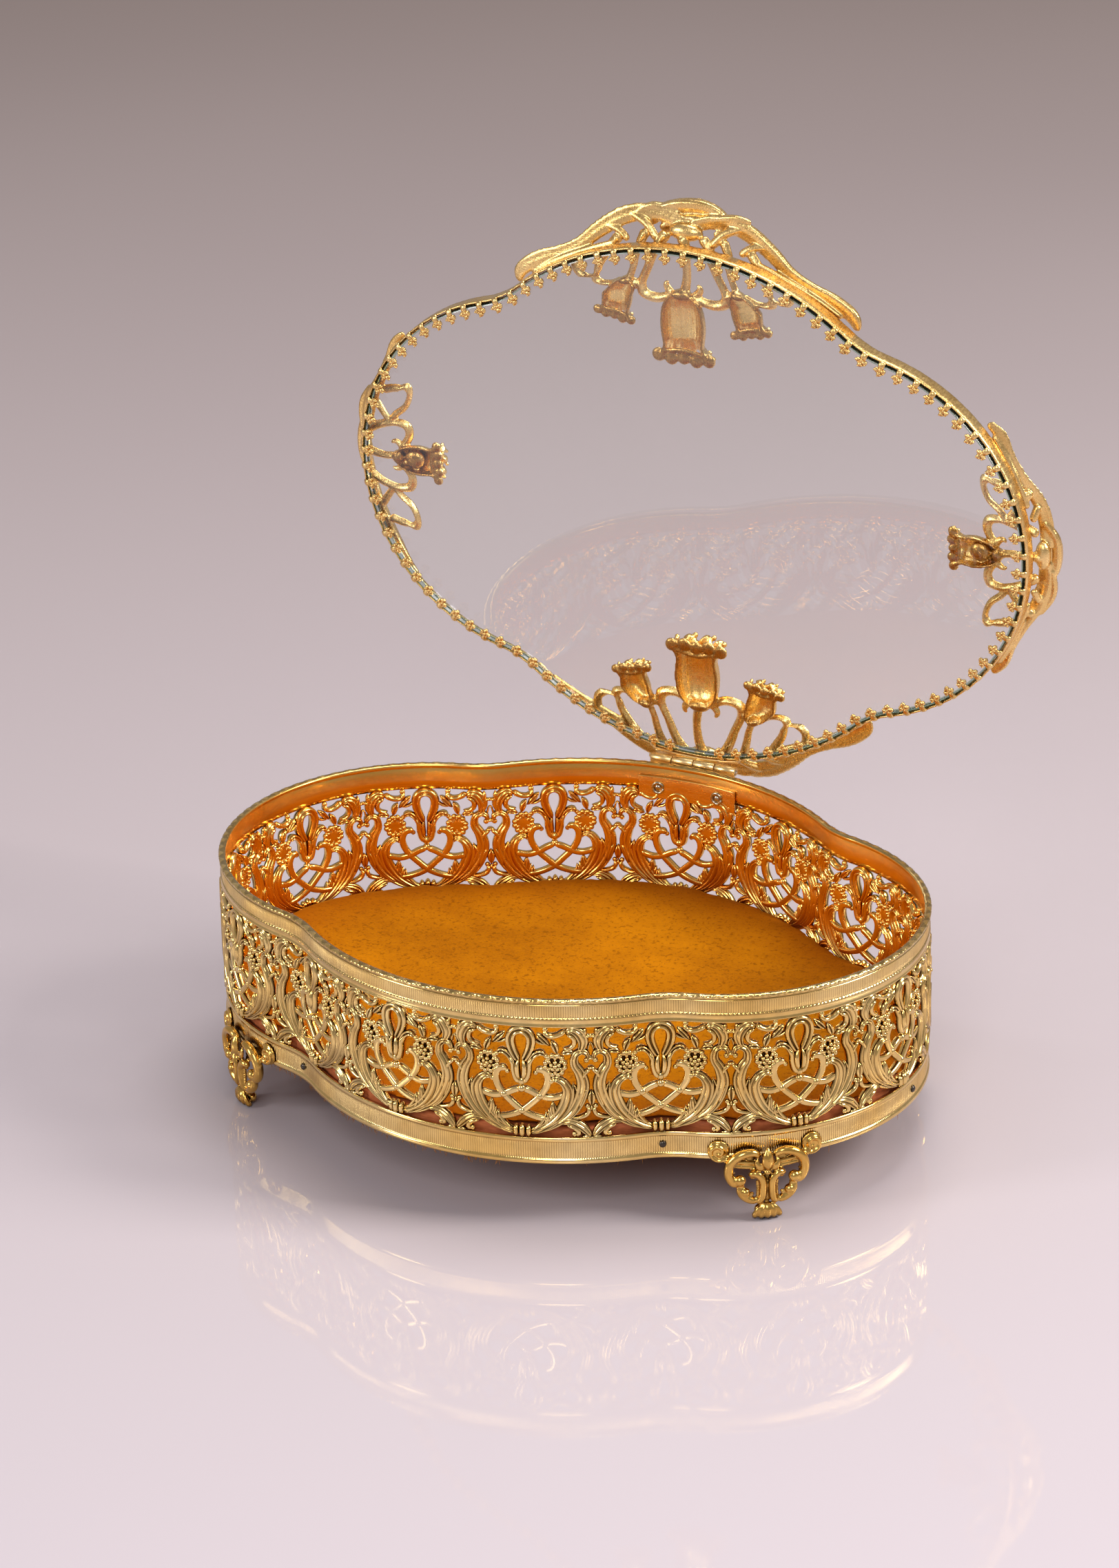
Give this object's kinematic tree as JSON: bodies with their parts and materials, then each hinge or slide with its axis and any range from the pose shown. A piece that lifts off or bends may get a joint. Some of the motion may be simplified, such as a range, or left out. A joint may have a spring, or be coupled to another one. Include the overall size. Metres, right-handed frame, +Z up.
{
  "type": "vanity trinket box",
  "caption": "Footed oval trinket box with a pierced filigree wall, velvet floor and a hinged clear glass lid with cast flower mounts.",
  "frame": {"origin": "on the table plane, under the middle of the whole object as stored with its lid open, which is 6.2 mm behind the middle of the box", "axes": "+Z up; +X along the box's long side, to the right when seen from the front; +Y to the back, where the hinge is"},
  "size_m": [0.213, 0.1648, 0.2259],
  "materials": {
    "antique_brass": "pale gold plate with dark patina in the recesses",
    "cast_gold": "deep gold plated casting, satin",
    "florentine_gold": "gold plate with a fine brushed florentine texture",
    "hinge_brass": "plain drawn brass, satin",
    "eyelet_steel": "dull nickel",
    "glass_clear": "clear polished plate glass with a green edge",
    "velvet_gold": "short-pile golden velvet",
    "card_peach": "peach-coloured padding card",
    "board_wood": "raw fibre board",
    "felt_gold": "golden velvet with a frayed edge"
  },
  "bodies": {
    "base": {"gallery_wall": "antique_brass", "rim_trim": "antique_brass", "underside_felt": "felt_gold", "floor_board": "board_wood", "padding_card": "card_peach", "velvet_pad": "velvet_gold", "floor_brads": "eyelet_steel", "foot_front_right": "cast_gold", "foot_back_right": "cast_gold", "foot_back_left": "cast_gold", "foot_front_left": "cast_gold", "hinge_backing_plate": "hinge_brass", "hinge_lower_leaf": "hinge_brass", "hinge_eyelets": "eyelet_steel", "hinge_pin": "eyelet_steel"},
    "lid": {"hinge_upper_leaf": "hinge_brass", "lid_glass": "glass_clear", "lid_band": "florentine_gold", "prong_gallery": "florentine_gold", "mount_front": "florentine_gold", "mount_right": "florentine_gold", "mount_back": "florentine_gold", "mount_left": "florentine_gold"}
  },
  "joints": [
    {"name": "lid_hinge", "type": "hinge", "parent": "base", "child": "lid", "pos_m": [0, 0.0719, 0.065], "axis": [-1, 0, 0], "range_deg": [-86, 9]}
  ]
}
